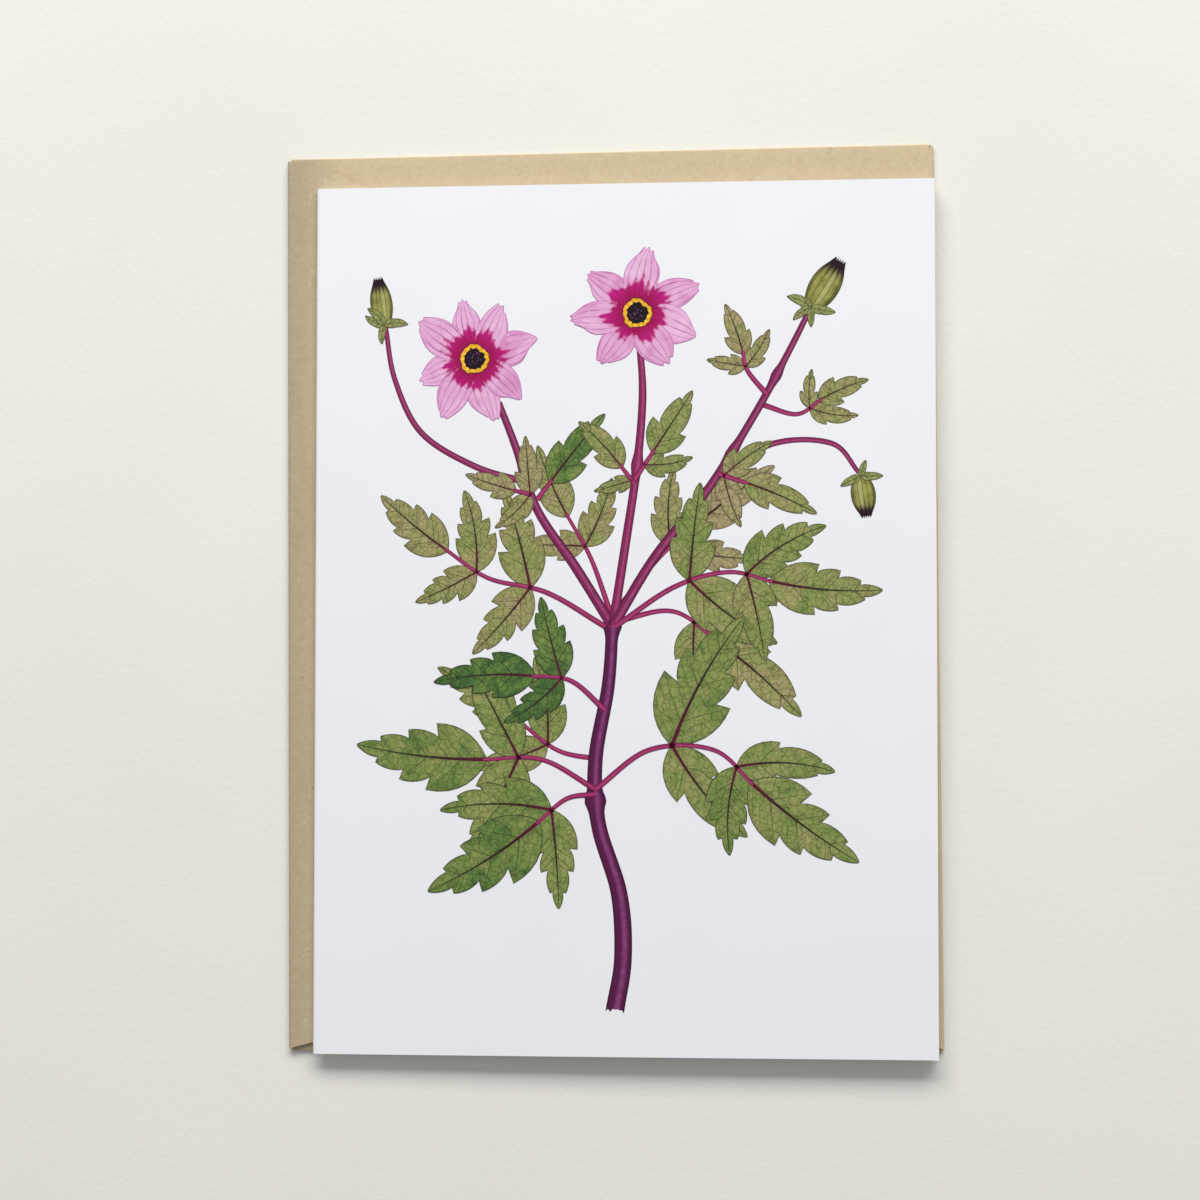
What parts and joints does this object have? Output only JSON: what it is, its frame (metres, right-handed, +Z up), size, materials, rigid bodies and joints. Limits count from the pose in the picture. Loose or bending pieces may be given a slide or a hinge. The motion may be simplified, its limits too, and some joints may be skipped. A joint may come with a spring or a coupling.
{
  "type": "greeting card with envelope",
  "caption": "Folded portrait greeting card with a botanical print on its cover, lying on its closed envelope; the cover opens about the fold.",
  "frame": {"origin": "middle of the envelope's underside, on the surface that it lies on", "axes": "+Z up, away from the surface; +Y along the long edges towards the top of the card; +X from the card's fold towards its opening edge"},
  "size_m": [0.1346, 0.1854, 0.0039],
  "materials": {
    "kraft_paper": "matt recycled kraft paper with fine fibres and flecks",
    "card_stock": "smooth matt white card",
    "seam_glue": "dry paper glue",
    "flap_gum": "dry remoistening gum, slightly glossy"
  },
  "bodies": {
    "base": {"envelope_front_panel": "kraft_paper", "envelope_upper_side_flap": "kraft_paper", "envelope_lower_side_flap": "kraft_paper", "envelope_back_flap": "kraft_paper", "envelope_closing_flap": "kraft_paper", "upper_seam_glue": "seam_glue", "lower_seam_glue": "seam_glue", "closing_flap_gum": "flap_gum", "card_back_panel": "card_stock", "card_fold": "card_stock"},
    "cover": {"card_front_cover": "card_stock"}
  },
  "joints": [
    {"name": "card_fold_hinge", "type": "hinge", "parent": "base", "child": "cover", "pos_m": [-0.06007, -0.004, 0.00225], "axis": [0, -1, 0], "range_deg": [0, 179.6]}
  ]
}
